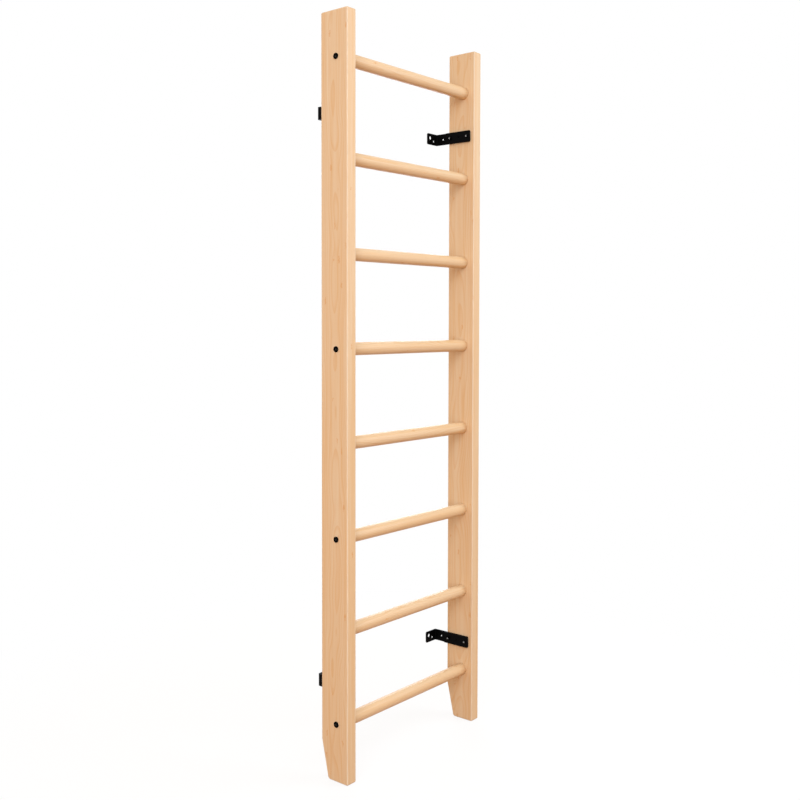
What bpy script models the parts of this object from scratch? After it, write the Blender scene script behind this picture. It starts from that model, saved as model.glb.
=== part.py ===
"""Wooden wall bars: two uprights, eight round rungs and four steel wall brackets.

The object stands on the floor with its front facing -Y, and the wall that holds it is
the plane y = 0. The origin is where that wall meets the floor, midway between the two
sides. All lengths are in metres.

A bracket is designed once, for the right-hand upright. The left-hand ones are the same
pieces turned over, half a turn about the front-to-back axis.
"""
import math

import bmesh
import bpy
from mathutils import Matrix, Vector

# Overall size
HEIGHT = 2.300
WIDTH = 0.670
WALL_GAP = 0.053

# Uprights
UPRIGHT_THICKNESS = 0.038
UPRIGHT_DEPTH = 0.107
EDGE_RADIUS = 0.004
EDGE_STEPS = 3
END_RADIUS = 0.004

# The cut at the back of each foot that clears a skirting board
RELIEF_HEIGHT = 0.118
RELIEF_DEPTH = 0.027
RELIEF_RADIUS = 0.010

# Rungs, counted from the top
RUNG_COUNT = 8
RUNG_DIAMETER = 0.040
RUNG_SETBACK = 0.045
TOP_RUNG_DROP = 0.137
TOP_GAP = 0.291
BOTTOM_GAP = 0.276
BOTTOM_RUNG_HEIGHT = 0.176
SOCKET_DEPTH = 0.020
RUNG_CHAMFER = 0.0015
BOLTED_RUNGS = (1, 4, 6, 8)

# Clearance between two pieces that touch or fit
CLEARANCE = 0.0003

# Bolts through the uprights into the ends of the rungs
RUNG_BOLT_DIAMETER = 0.007
RUNG_BOLT_REACH = 0.050
RUNG_BOLT_POINT_LENGTH = 0.0018
RUNG_BOLT_HEAD_DIAMETER = 0.018
RUNG_BOLT_HEAD_HEIGHT = 0.0032
RUNG_BOLT_KEY = 0.006
RUNG_BOLT_KEY_DEPTH = 0.0018

# Wall brackets: an angle whose leg lies on the upright, and a flat bar over the leg
TOP_BRACKET_DROP = 0.283
BOTTOM_BRACKET_HEIGHT = 0.276
STEEL_THICKNESS = 0.004
STEEL_HEIGHT = 0.038
STEEL_EDGE = 0.0005
BAR_FRONT_INSET = 0.013
BAR_REAR_REACH = 0.010
BAR_FRONT_RADIUS = 0.004
BAR_REAR_RADIUS = 0.006
SPARE_HOLE_DIAMETER = 0.007
LEG_FRONT_INSET = 0.015
LEG_HOLE_DIAMETER = 0.006
LEG_HOLE_SETBACK = 0.023
SMALL_LEG_HOLE_DIAMETER = 0.0055
SMALL_LEG_HOLE_SETBACK = 0.0095
SMALL_LEG_HOLE_RISE = 0.0075
ANGLE_CORNER_RADIUS = 0.005
ANGLE_BEND_RADIUS = 0.002
FLANGE_REACH = 0.0555
WALL_HOLE_DIAMETER = 0.012
WALL_HOLE_REACH = 0.040
WALL_HOLE_RISE = 0.004
PIN_HOLE_DIAMETER = 0.008
PIN_HOLE_REACH = 0.021
PIN_HOLE_DROP = 0.006

# Wood screws through the bar and the leg, one near each edge of the upright
FRONT_SCREW_INSET = 0.013
FRONT_SCREW_DIAMETER = 0.005
FRONT_SCREW_LENGTH = 0.030
FRONT_SCREW_HEAD_DIAMETER = 0.010
FRONT_SCREW_HEAD_HEIGHT = 0.0032
FRONT_SCREW_KEY = 0.003
REAR_SCREW_INSET = 0.0115
REAR_SCREW_DIAMETER = 0.007
REAR_SCREW_LENGTH = 0.034
REAR_SCREW_HEAD_DIAMETER = 0.014
REAR_SCREW_HEAD_HEIGHT = 0.0044
REAR_SCREW_KEY = 0.005
SCREW_KEY_DEPTH = 0.0018
SCREW_POINT_LENGTH = 0.005

# Shares of a fastener's size: the flat of its head, the rise of its crown, its blunt point
HEAD_FLAT_SHARE = 0.78
HEAD_CROWN_SHARE = 0.45
POINT_SHARE = 0.4

# Roundness: points round each kind of ring, and steps in a rounded corner. Rings that
# meet on a flat face may differ if one count divides the other.
RUNG_SIDES = 36
HEAD_SIDES = 24
SMALL_HEAD_SIDES = 12
SHANK_SIDES = 12
HOLE_SIDES = 16
HEXAGON = 6
ARC_STEPS = 4
# How far a drill starts outside the wood, and runs on past it
DRILL_OVERRUN = 0.010
# Points closer together than this are one point, and edges sharper than this stay sharp
MERGE_DISTANCE = 0.000005
SHARP_ANGLE = math.radians(32)

# Places worked out from the sizes above
WALL_Y = 0.0
REAR_Y = WALL_Y - WALL_GAP
FRONT_Y = REAR_Y - UPRIGHT_DEPTH
OUTER_X = WIDTH / 2
INNER_X = OUTER_X - UPRIGHT_THICKNESS
RUNG_Y = FRONT_Y + RUNG_SETBACK
FRONT_SCREW_Y = FRONT_Y + BAR_FRONT_INSET + FRONT_SCREW_INSET
REAR_SCREW_Y = REAR_Y - REAR_SCREW_INSET
SPARE_HOLE_Y = (FRONT_SCREW_Y + REAR_SCREW_Y) / 2
BRACKET_HEIGHTS = {"upper": HEIGHT - TOP_BRACKET_DROP, "lower": BOTTOM_BRACKET_HEIGHT}

# Layers of a bracket, measured inwards from the upright's inner face
LEG_OUTSIDE = CLEARANCE
LEG_INSIDE = LEG_OUTSIDE + STEEL_THICKNESS
BAR_OUTSIDE = LEG_INSIDE + CLEARANCE
BAR_INSIDE = BAR_OUTSIDE + STEEL_THICKNESS

FINISHES = {
    "upright_wood": {"color": (0.76, 0.50, 0.28), "roughness": 0.45, "metallic": 0.0},
    "rung_wood": {"color": (0.80, 0.55, 0.33), "roughness": 0.38, "metallic": 0.0},
    "black_steel": {"color": (0.010, 0.010, 0.011), "roughness": 0.40, "metallic": 0.0},
    "black_fastener": {"color": (0.014, 0.014, 0.015), "roughness": 0.30, "metallic": 0.6},
}


def clear_scene():
    """Remove every object, so that the script can run again in an open file."""
    for old in list(bpy.data.objects):
        bpy.data.objects.remove(old, do_unlink=True)


def finish_material(name):
    """The Principled material of one finish, made the first time it is asked for."""
    material = bpy.data.materials.get(name)
    if material is None:
        material = bpy.data.materials.new(name)
        material.use_nodes = True
        shader = material.node_tree.nodes["Principled BSDF"]
        finish = FINISHES[name]
        shader.inputs["Base Color"].default_value = (*finish["color"], 1.0)
        shader.inputs["Roughness"].default_value = finish["roughness"]
        shader.inputs["Metallic"].default_value = finish["metallic"]
    return material


def place(name, mesh, finish, location=(0, 0, 0), rotation=(0, 0, 0)):
    """Add a named object for one piece. Copies of a piece share its mesh."""
    if not mesh.materials:
        mesh.materials.append(finish_material(finish))
    piece = bpy.data.objects.new(name, mesh)
    piece.location = location
    piece.rotation_euler = rotation
    bpy.context.scene.collection.objects.link(piece)
    return piece


def mesh_from(bm, name):
    """Turn a finished bmesh into a mesh with outward faces and smooth round surfaces."""
    bmesh.ops.recalc_face_normals(bm, faces=bm.faces[:])
    mesh = bpy.data.meshes.new(name)
    bm.to_mesh(mesh)
    bm.free()
    mesh.shade_smooth()
    mesh.set_sharp_from_angle(angle=SHARP_ANGLE)
    return mesh


def round_ring(x, diameter, sides):
    """One ring of a turned piece: its place along X, its radius and its number of points."""
    return (x, diameter / 2, sides)


def hex_ring(x, across_flats):
    """A ring whose six points are the corners of a hexagon."""
    return (x, across_flats / 2 / math.cos(math.pi / HEXAGON), HEXAGON)


def span(loop, segment, segments):
    """The points of one segment of a closed loop, both ends included."""
    step = len(loop) // segments
    return [loop[(segment * step + index) % len(loop)] for index in range(step + 1)]


def add_turned(bm, rings, centre=(0, 0, 0)):
    """Add a solid turned about an axis along X, from its rings in order."""
    cx, cy, cz = centre
    loops = []
    for x, radius, sides in rings:
        turns = [2 * math.pi * step / sides for step in range(sides)]
        points = [(cx + x, cy + radius * math.cos(t), cz + radius * math.sin(t)) for t in turns]
        loops.append([bm.verts.new(point) for point in points])
    bm.faces.new(loops[0])
    bm.faces.new(loops[-1])
    for near, far in zip(loops, loops[1:]):
        segments = min(len(near), len(far))
        for segment in range(segments):
            here = span(near, segment, segments)
            there = span(far, segment, segments)
            bm.faces.new(here + there[::-1])


def rounded_corner(before, corner, after, radius):
    """Points of the arc that rounds one corner of an outline."""
    before, corner, after = Vector(before), Vector(corner), Vector(after)
    back = (before - corner).normalized()
    ahead = (after - corner).normalized()
    half = back.angle(ahead) / 2
    centre = corner + (back + ahead).normalized() * (radius / math.sin(half))
    start = corner + back * (radius / math.tan(half)) - centre
    sweep = start.angle_signed(corner + ahead * (radius / math.tan(half)) - centre)
    arc = []
    for step in range(ARC_STEPS + 1):
        turn = -sweep * step / ARC_STEPS
        cos, sin = math.cos(turn), math.sin(turn)
        arc.append(centre + Vector((start.x * cos - start.y * sin, start.x * sin + start.y * cos)))
    return arc


def rounded_outline(corners):
    """A closed outline from (point, radius) corners, with an arc where radius isn't 0."""
    outline = []
    for index, (corner, radius) in enumerate(corners):
        before = corners[index - 1][0]
        after = corners[(index + 1) % len(corners)][0]
        if radius:
            outline.extend(rounded_corner(before, corner, after, radius))
        else:
            outline.append(Vector(corner))
    return outline


def add_plate(bm, outline, x_low, x_high):
    """Add a plate whose outline lies in the YZ plane, and return its two outline loops."""
    near = [bm.verts.new((x_low, y, z)) for y, z in outline]
    far = [bm.verts.new((x_high, y, z)) for y, z in outline]
    bm.faces.new(near)
    bm.faces.new(far)
    count = len(outline)
    for step in range(count):
        after = (step + 1) % count
        bm.faces.new((near[step], near[after], far[after], far[step]))
    loops = []
    for ring in (near, far):
        loops.extend(bm.edges.get((ring[step], ring[(step + 1) % count])) for step in range(count))
    return loops


def bevel(bm, edges, width, segments):
    """Round or chamfer the given edges of a solid."""
    bmesh.ops.bevel(
        bm, geom=edges, offset=width, segments=segments, profile=0.5, affect="EDGES",
        clamp_overlap=True,
    )


def carve(mesh, cutter, name):
    """Cut one closed mesh out of another and return the result as a mesh of its own."""
    body = place(name, mesh, "black_steel")
    tool = place(name + "_cutter", cutter, "black_steel")
    tool.hide_render = True
    tool.display_type = "WIRE"
    cut = body.modifiers.new("cut", "BOOLEAN")
    cut.operation = "DIFFERENCE"
    cut.solver = "EXACT"
    cut.object = tool
    depsgraph = bpy.context.evaluated_depsgraph_get()
    carved = bpy.data.meshes.new_from_object(body.evaluated_get(depsgraph), depsgraph=depsgraph)
    bpy.data.objects.remove(body, do_unlink=True)
    bpy.data.objects.remove(tool, do_unlink=True)
    carved.materials.clear()
    bm = bmesh.new()
    bm.from_mesh(carved)
    bmesh.ops.remove_doubles(bm, verts=bm.verts[:], dist=MERGE_DISTANCE)
    return mesh_from(bm, name)


def rung_heights():
    """Heights of the rung axes, top to bottom: an end gap, even steps, and an end gap."""
    top = HEIGHT - TOP_RUNG_DROP
    second = top - TOP_GAP
    last_but_one = BOTTOM_RUNG_HEIGHT + BOTTOM_GAP
    steps = RUNG_COUNT - 3
    even = [second + (last_but_one - second) * step / steps for step in range(steps + 1)]
    return [top, *even, BOTTOM_RUNG_HEIGHT]


def upright_outline():
    """Side view of an upright: square ends with eased corners, and the relieved foot."""
    return rounded_outline([
        ((FRONT_Y, 0.0), END_RADIUS),
        ((REAR_Y - RELIEF_DEPTH, 0.0), RELIEF_RADIUS),
        ((REAR_Y, RELIEF_HEIGHT), 0.0),
        ((REAR_Y, HEIGHT), END_RADIUS),
        ((FRONT_Y, HEIGHT), END_RADIUS),
    ])


def upright_cutter(side):
    """Everything drilled in one upright. The side is 1 for the right one, -1 for the left."""
    bm = bmesh.new()
    mouth = -side * DRILL_OVERRUN
    through = side * (UPRIGHT_THICKNESS + DRILL_OVERRUN)
    floor = side * SOCKET_DEPTH
    socket = RUNG_DIAMETER + 2 * CLEARANCE
    hole = RUNG_BOLT_DIAMETER + 2 * CLEARANCE
    for number, height in enumerate(rung_heights(), start=1):
        rings = [round_ring(mouth, socket, RUNG_SIDES), round_ring(floor, socket, RUNG_SIDES)]
        if number in BOLTED_RUNGS:
            rings.append(round_ring(floor, hole, SHANK_SIDES))
            rings.append(round_ring(through, hole, SHANK_SIDES))
        add_turned(bm, rings, (side * INNER_X, RUNG_Y, height))
    screws = (
        (FRONT_SCREW_Y, FRONT_SCREW_DIAMETER, FRONT_SCREW_LENGTH),
        (REAR_SCREW_Y, REAR_SCREW_DIAMETER, REAR_SCREW_LENGTH),
    )
    for height in BRACKET_HEIGHTS.values():
        for y, diameter, length in screws:
            bore = diameter + 2 * CLEARANCE
            depth = side * (length - BAR_INSIDE + CLEARANCE)
            rings = [round_ring(mouth, bore, SHANK_SIDES), round_ring(depth, bore, SHANK_SIDES)]
            add_turned(bm, rings, (side * INNER_X, y, height))
    return mesh_from(bm, "upright_cutter")


def add_upright(name, side):
    """Add one upright, with rounded edges, rung sockets, bolt holes and screw holes."""
    bm = bmesh.new()
    edges = add_plate(bm, upright_outline(), side * INNER_X, side * OUTER_X)
    bevel(bm, edges, EDGE_RADIUS, EDGE_STEPS)
    blank = mesh_from(bm, name + "_blank")
    return place(name, carve(blank, upright_cutter(side), name), "upright_wood")


def rung_mesh(bolted):
    """A turned rung with chamfered ends. A bolted one has a bore in each end."""
    end = INNER_X + SOCKET_DEPTH - CLEARANCE
    rings = [
        round_ring(end, RUNG_DIAMETER - 2 * RUNG_CHAMFER, RUNG_SIDES),
        round_ring(end - RUNG_CHAMFER, RUNG_DIAMETER, RUNG_SIDES),
    ]
    if bolted:
        bottom = INNER_X + SOCKET_DEPTH - RUNG_BOLT_REACH - CLEARANCE
        bore = RUNG_BOLT_DIAMETER + 2 * CLEARANCE
        rings = [round_ring(bottom, bore, SHANK_SIDES), round_ring(end, bore, SHANK_SIDES)] + rings
    mirrored = [(-x, radius, sides) for x, radius, sides in reversed(rings)]
    bm = bmesh.new()
    add_turned(bm, rings + mirrored)
    return mesh_from(bm, "bolted_rung" if bolted else "rung")


def fastener_mesh(name, diameter, length, head, key, point, head_sides=HEAD_SIDES):
    """A fastener along +X whose head seats at x = 0, with a hexagon key recess.

    The head is (diameter, height) and the key is (width across flats, depth).
    """
    head_diameter, head_height = head
    key_width, key_depth = key
    top = -head_height - CLEARANCE
    bm = bmesh.new()
    add_turned(bm, [
        hex_ring(top + key_depth, key_width),
        hex_ring(top, key_width),
        round_ring(top, head_diameter * HEAD_FLAT_SHARE, head_sides),
        round_ring(top + head_height * HEAD_CROWN_SHARE, head_diameter, head_sides),
        round_ring(-CLEARANCE, head_diameter, head_sides),
        round_ring(-CLEARANCE, diameter, SHANK_SIDES),
        round_ring(length - point, diameter, SHANK_SIDES),
        round_ring(length, diameter * POINT_SHARE, SHANK_SIDES),
    ])
    return mesh_from(bm, name)


def rung_bolt_mesh():
    """The flat-headed bolt that goes through an upright into the end of a rung."""
    return fastener_mesh(
        "rung_bolt",
        RUNG_BOLT_DIAMETER,
        UPRIGHT_THICKNESS - SOCKET_DEPTH + RUNG_BOLT_REACH,
        (RUNG_BOLT_HEAD_DIAMETER, RUNG_BOLT_HEAD_HEIGHT),
        (RUNG_BOLT_KEY, RUNG_BOLT_KEY_DEPTH),
        RUNG_BOLT_POINT_LENGTH,
    )


def front_screw_mesh():
    """The small screw near the front end of a bracket bar."""
    return fastener_mesh(
        "front_screw",
        FRONT_SCREW_DIAMETER,
        FRONT_SCREW_LENGTH,
        (FRONT_SCREW_HEAD_DIAMETER, FRONT_SCREW_HEAD_HEIGHT),
        (FRONT_SCREW_KEY, SCREW_KEY_DEPTH),
        SCREW_POINT_LENGTH,
        SMALL_HEAD_SIDES,
    )


def rear_screw_mesh():
    """The heavier screw near the rear edge of the upright."""
    return fastener_mesh(
        "rear_screw",
        REAR_SCREW_DIAMETER,
        REAR_SCREW_LENGTH,
        (REAR_SCREW_HEAD_DIAMETER, REAR_SCREW_HEAD_HEIGHT),
        (REAR_SCREW_KEY, SCREW_KEY_DEPTH),
        SCREW_POINT_LENGTH,
    )


def add_hole(bm, diameter, y, rise=0.0):
    """Add a hole cutter along X that passes through every layer of a bracket."""
    reach = 2 * BAR_INSIDE
    rings = [round_ring(-reach, diameter, HOLE_SIDES), round_ring(reach, diameter, HOLE_SIDES)]
    add_turned(bm, rings, (0, y, rise))


def add_screw_holes(bm):
    """Add the cutters of the two screw holes, which the bar and the leg share."""
    add_hole(bm, FRONT_SCREW_DIAMETER + 2 * CLEARANCE, FRONT_SCREW_Y)
    add_hole(bm, REAR_SCREW_DIAMETER + 2 * CLEARANCE, REAR_SCREW_Y)


def bar_mesh():
    """The flat bar: over the angle's leg, from near the upright's front to just behind it."""
    front = FRONT_Y + BAR_FRONT_INSET
    rear = REAR_Y + BAR_REAR_REACH
    top = STEEL_HEIGHT / 2
    outline = rounded_outline([
        ((front, -top), BAR_FRONT_RADIUS),
        ((rear, -top), BAR_REAR_RADIUS),
        ((rear, top), BAR_REAR_RADIUS),
        ((front, top), BAR_FRONT_RADIUS),
    ])
    bm = bmesh.new()
    edges = add_plate(bm, outline, -BAR_INSIDE, -BAR_OUTSIDE)
    bevel(bm, edges, STEEL_EDGE, 1)
    blank = mesh_from(bm, "bar_blank")

    tools = bmesh.new()
    add_screw_holes(tools)
    add_hole(tools, SPARE_HOLE_DIAMETER, SPARE_HOLE_Y)
    return carve(blank, mesh_from(tools, "bar_cutter"), "bracket_bar")


def angle_mesh():
    """The angle: a leg along the upright, a bend, and a pierced flange for the wall."""
    leg_front = FRONT_Y + LEG_FRONT_INSET
    top = STEEL_HEIGHT / 2
    plan = rounded_outline([
        ((-LEG_OUTSIDE, leg_front), 0.0),
        ((-LEG_OUTSIDE, WALL_Y), ANGLE_BEND_RADIUS + STEEL_THICKNESS),
        ((-FLANGE_REACH, WALL_Y), 0.0),
        ((-FLANGE_REACH, WALL_Y - STEEL_THICKNESS), 0.0),
        ((-LEG_INSIDE, WALL_Y - STEEL_THICKNESS), ANGLE_BEND_RADIUS),
        ((-LEG_INSIDE, leg_front), 0.0),
    ])
    bm = bmesh.new()
    lower = [bm.verts.new((x, y, -top)) for x, y in plan]
    upper = [bm.verts.new((x, y, top)) for x, y in plan]
    bm.faces.new(lower)
    bm.faces.new(upper)
    count = len(plan)
    for step in range(count):
        after = (step + 1) % count
        bm.faces.new((lower[step], lower[after], upper[after], upper[step]))
    ends = []
    flange_corner = 1 + ARC_STEPS + 1
    for ring in (lower, upper):
        ends.append(bm.edges.get((ring[-1], ring[0])))
        ends.append(bm.edges.get((ring[flange_corner], ring[flange_corner + 1])))
    bevel(bm, ends, ANGLE_CORNER_RADIUS, ARC_STEPS)
    blank = mesh_from(bm, "angle_blank")

    leg_tool = bmesh.new()
    add_screw_holes(leg_tool)
    add_hole(leg_tool, LEG_HOLE_DIAMETER, REAR_Y + LEG_HOLE_SETBACK)
    add_hole(leg_tool, SMALL_LEG_HOLE_DIAMETER, REAR_Y + SMALL_LEG_HOLE_SETBACK, SMALL_LEG_HOLE_RISE)
    flange_tool = bmesh.new()
    holes = (
        (WALL_HOLE_DIAMETER, WALL_HOLE_REACH, WALL_HOLE_RISE),
        (PIN_HOLE_DIAMETER, PIN_HOLE_REACH, -PIN_HOLE_DROP),
    )
    for diameter, reach, rise in holes:
        bore = bmesh.new()
        add_hole(bore, diameter, 0.0)
        quarter_turn = Matrix.Rotation(math.pi / 2, 4, "Z")
        shift = Matrix.Translation((-reach, WALL_Y, rise))
        bmesh.ops.transform(bore, matrix=shift @ quarter_turn, verts=bore.verts[:])
        flange_tool.from_mesh(mesh_from(bore, "flange_hole"))
    bored = carve(blank, mesh_from(leg_tool, "leg_cutter"), "angle_leg")
    return carve(bored, mesh_from(flange_tool, "flange_cutter"), "bracket_angle")


def add_brackets():
    """Add the four brackets with their screws."""
    bar = bar_mesh()
    angle = angle_mesh()
    screws = {
        "front_screw": (front_screw_mesh(), FRONT_SCREW_Y),
        "rear_screw": (rear_screw_mesh(), REAR_SCREW_Y),
    }
    for level, height in BRACKET_HEIGHTS.items():
        for hand, side in (("left", -1), ("right", 1)):
            turn = (0, 0, 0) if side > 0 else (0, math.pi, 0)
            corner = f"{level}_{hand}"
            place(f"{corner}_bracket_bar", bar, "black_steel", (side * INNER_X, 0, height), turn)
            place(f"{corner}_bracket_angle", angle, "black_steel", (side * INNER_X, 0, height), turn)
            for kind, (mesh, y) in screws.items():
                seat = (side * (INNER_X - BAR_INSIDE), y, height)
                place(f"{corner}_{kind}", mesh, "black_fastener", seat, turn)


def add_rungs():
    """Add the eight rungs, and the bolts that draw the uprights on to four of them."""
    plain = rung_mesh(bolted=False)
    bored = rung_mesh(bolted=True)
    bolt = rung_bolt_mesh()
    for number, height in enumerate(rung_heights(), start=1):
        bolted = number in BOLTED_RUNGS
        place(f"rung_{number}", bored if bolted else plain, "rung_wood", (0, RUNG_Y, height))
        if bolted:
            left_seat = (-OUTER_X, RUNG_Y, height)
            right_seat = (OUTER_X, RUNG_Y, height)
            place(f"left_rung_bolt_{number}", bolt, "black_fastener", left_seat)
            place(f"right_rung_bolt_{number}", bolt, "black_fastener", right_seat, (0, math.pi, 0))


def main():
    """Build the wall bars in an empty scene."""
    clear_scene()
    add_upright("left_upright", -1)
    add_upright("right_upright", 1)
    add_rungs()
    add_brackets()


main()
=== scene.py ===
# %% [markdown]
# # Wooden wall bars
#
# Wall bars are a gymnastics frame: two upright boards, eight round rungs between them and
# four steel brackets that hold the frame off the wall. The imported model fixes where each
# piece is. This script gives each piece a finer form and a real finish, and then sets the
# camera, the lamps and a floor. All lengths are in metres, and the wall is the plane y = 0.

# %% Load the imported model
import math

import bmesh
import bpy
from mathutils import Matrix, Vector


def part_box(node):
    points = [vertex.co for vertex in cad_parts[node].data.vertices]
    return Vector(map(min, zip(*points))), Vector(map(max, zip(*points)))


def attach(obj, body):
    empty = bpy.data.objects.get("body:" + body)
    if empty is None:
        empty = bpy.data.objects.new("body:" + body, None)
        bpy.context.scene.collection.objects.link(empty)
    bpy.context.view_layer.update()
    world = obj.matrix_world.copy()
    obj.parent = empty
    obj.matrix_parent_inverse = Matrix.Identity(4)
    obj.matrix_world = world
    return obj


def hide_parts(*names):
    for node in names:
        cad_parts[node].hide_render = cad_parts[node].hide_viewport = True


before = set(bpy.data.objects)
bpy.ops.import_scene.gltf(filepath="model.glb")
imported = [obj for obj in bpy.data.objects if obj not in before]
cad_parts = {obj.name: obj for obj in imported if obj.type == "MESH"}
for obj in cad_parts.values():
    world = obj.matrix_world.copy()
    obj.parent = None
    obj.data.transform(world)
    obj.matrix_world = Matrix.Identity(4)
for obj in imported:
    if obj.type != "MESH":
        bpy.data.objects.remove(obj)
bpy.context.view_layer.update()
print("nodes in the frame:", len(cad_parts))

# %% [markdown]
# ## Sizes
#
# Sizes can be typed in or read. The frame already holds the corners of every piece, so the
# main sizes are read from it: a finer piece can't then drift away from the solid that it
# stands for. Only sizes that a box can't tell, such as where a hole is, are written here.

# %% Read the main sizes from the frame
BOARD_LOW, BOARD_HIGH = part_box("right_upright")
INNER_X, OUTER_X = BOARD_LOW.x, BOARD_HIGH.x
FRONT_Y, REAR_Y = BOARD_LOW.y, BOARD_HIGH.y
HEIGHT = BOARD_HIGH.z
WALL_Y = 0.0
CLEARANCE = 0.0003
LEVELS = ("upper", "lower")
HANDS = {"left": -1, "right": 1}
RUNG_COUNT = 8
BOLTED_RUNGS = (1, 4, 6, 8)


def add_object(name, data):
    """An object for a mesh, curve, lamp or camera, at the origin and in the scene."""
    added = bpy.data.objects.new(name, data)
    bpy.context.scene.collection.objects.link(added)
    return added


def middle(node):
    """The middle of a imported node's box."""
    low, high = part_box(node)
    return (low + high) / 2


RUNG_LOW, RUNG_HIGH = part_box("rung_1")
RUNG_RADIUS = (RUNG_HIGH.z - RUNG_LOW.z) / 2
RUNG_END = RUNG_HIGH.x
RUNG_Y = middle("rung_1").y
RUNG_HEIGHTS = [middle(f"rung_{number}").z for number in range(1, RUNG_COUNT + 1)]
print("board", [round(size * 1000, 1) for size in BOARD_HIGH - BOARD_LOW], "mm")
print("rung heights", [round(height, 3) for height in RUNG_HEIGHTS])

# %% [markdown]
# ## Camera
#
# A camera can be set by eye or solved. This one was solved: the edges of the boards and the
# axes of the rungs were marked in the photograph, and the place, turn and focal length that
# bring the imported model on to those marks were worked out. The photograph's optical axis is
# above its middle, which a vertical shift of the lens gives.

# %% Set the camera
PHOTO_SIZE = 800
FOCAL_PIXELS = 999.5
SENSOR_WIDTH = 36.0
AXIS_ROW = 359.6
CAMERA_PLACE = Vector((-2.4879, -2.1531, 1.3874))
CAMERA_YAW = 0.876547
CAMERA_PITCH = -0.038429
CAMERA_ROLL = 0.001668

lens = bpy.data.cameras.new("photo_lens")
lens.sensor_width = SENSOR_WIDTH
lens.lens = FOCAL_PIXELS / PHOTO_SIZE * SENSOR_WIDTH
lens.shift_y = (AXIS_ROW - PHOTO_SIZE / 2) / PHOTO_SIZE
camera = add_object("photo_camera", lens)
bpy.context.scene.camera = camera
look = Vector((
    math.sin(CAMERA_YAW) * math.cos(CAMERA_PITCH),
    math.cos(CAMERA_YAW) * math.cos(CAMERA_PITCH),
    math.sin(CAMERA_PITCH),
))
level_view = look.to_track_quat("-Z", "Y").to_matrix().to_4x4()
roll = Matrix.Rotation(CAMERA_ROLL, 4, "Z")
camera.matrix_world = Matrix.Translation(CAMERA_PLACE) @ level_view @ roll
bpy.context.scene.view_settings.view_transform = "Standard"
print("lens", round(lens.lens, 2), "mm, shift", round(lens.shift_y, 4))

# %% [markdown]
# ## Node trees as sums
#
# A node tree is a drawing of a formula, and long ones are hard to read as lists of links. A
# small class wraps one output socket, so that Python's own signs add the Math nodes. The
# same class serves materials, the world and Geometry Nodes, which share those nodes.


# %% A term wraps one socket
class Term:
    """One output of a node, which can be used in Python sums."""

    def __init__(self, graph, socket):
        self.graph = graph
        self.socket = socket

    def other(self, output):
        """Another output of the same node."""
        return Term(self.graph, self.socket.node.outputs[output])

    def swing(self, reach):
        """Noise from 0 to 1 as a swing about zero, up to half the reach each way."""
        return (self - 0.5) * reach

    def __add__(self, more):
        return self.graph.maths("ADD", self, more)

    __radd__ = __add__

    def __sub__(self, less):
        return self.graph.maths("SUBTRACT", self, less)

    def __rsub__(self, more):
        return self.graph.maths("SUBTRACT", more, self)

    def __mul__(self, times):
        return self.graph.maths("MULTIPLY", self, times)

    __rmul__ = __mul__

    def __truediv__(self, parts):
        return self.graph.maths("DIVIDE", self, parts)


# %% A graph makes the nodes of one tree
class Graph:
    """Makes the nodes of one tree."""

    def __init__(self, tree):
        self.tree = tree

    def node(self, kind, settings=None, values=None, output=0):
        """Add a node: its settings first, then the values or terms of its sockets."""
        made = self.tree.nodes.new(kind)
        for name, setting in (settings or {}).items():
            setattr(made, name, setting)
        for socket, value in (values or {}).items():
            if isinstance(value, Term):
                self.tree.links.new(value.socket, made.inputs[socket])
            else:
                made.inputs[socket].default_value = value
        return Term(self, made.outputs[output]) if made.outputs else None

    def shape(self, kind, **values):
        """A Geometry Nodes node. Inputs are named with _ for a space."""
        named = {label.replace("_", " "): value for label, value in values.items()}
        return self.node("GeometryNode" + kind, values=named)

    def maths(self, operation, *values):
        """A Math node on one, two or three values."""
        return self.node("ShaderNodeMath", {"operation": operation}, dict(enumerate(values)))

    def vectors(self, operation, *values, output=0):
        """A Vector Math node."""
        settings = {"operation": operation}
        return self.node("ShaderNodeVectorMath", settings, dict(enumerate(values)), output)

    def part(self, vector, axis):
        """One axis of a vector."""
        return self.node("ShaderNodeSeparateXYZ", values={0: vector}, output=axis)

    def stretch(self, place, factors):
        """A place with each of its axes multiplied by a factor of its own."""
        return self.vectors("MULTIPLY", place, factors)

    def noise(self, place, scale, detail=2.0, output="Fac"):
        """Soft noise. The output Fac is a number from 0 to 1, and Color is three of them."""
        values = {"Vector": place, "Scale": scale, "Detail": detail}
        return self.node("ShaderNodeTexNoise", values=values, output=output)

    def rise(self, value, low, high):
        """0 up to low and 1 from high, with a smooth slope between them."""
        settings = {"interpolation_type": "SMOOTHSTEP", "clamp": True}
        values = {"Value": value, "From Min": low, "From Max": high}
        return self.node("ShaderNodeMapRange", settings, values)

    def blend(self, factor, first, second):
        """A Mix node on two colours, terms or lists of three, by its colour sockets."""
        colours = [c if isinstance(c, Term) else (*c, 1.0) for c in (first, second)]
        settings = {"data_type": "RGBA", "clamp_factor": True}
        return self.node("ShaderNodeMix", settings, {0: factor, 6: colours[0], 7: colours[1]}, 2)


# %% Start and end a material
def new_material(name):
    """An empty material and the graph of its tree."""
    material = bpy.data.materials.new(name)
    material.use_nodes = True
    material.node_tree.nodes.clear()
    return material, Graph(material.node_tree)


def finish_surface(graph, colour, roughness, height, bump, gloss, metallic=0.0):
    """End a material. Its bump is a strength, and a depth in metres."""
    strength, depth = bump
    values = {"Strength": strength, "Distance": depth, "Height": height}
    normal = graph.node("ShaderNodeBump", values=values)
    shader = graph.node("ShaderNodeBsdfPrincipled", values={
        "Base Color": colour, "Metallic": metallic, "Roughness": roughness, "Normal": normal,
        "Specular IOR Level": gloss,
    })
    graph.node("ShaderNodeOutputMaterial", values={"Surface": shader})


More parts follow.
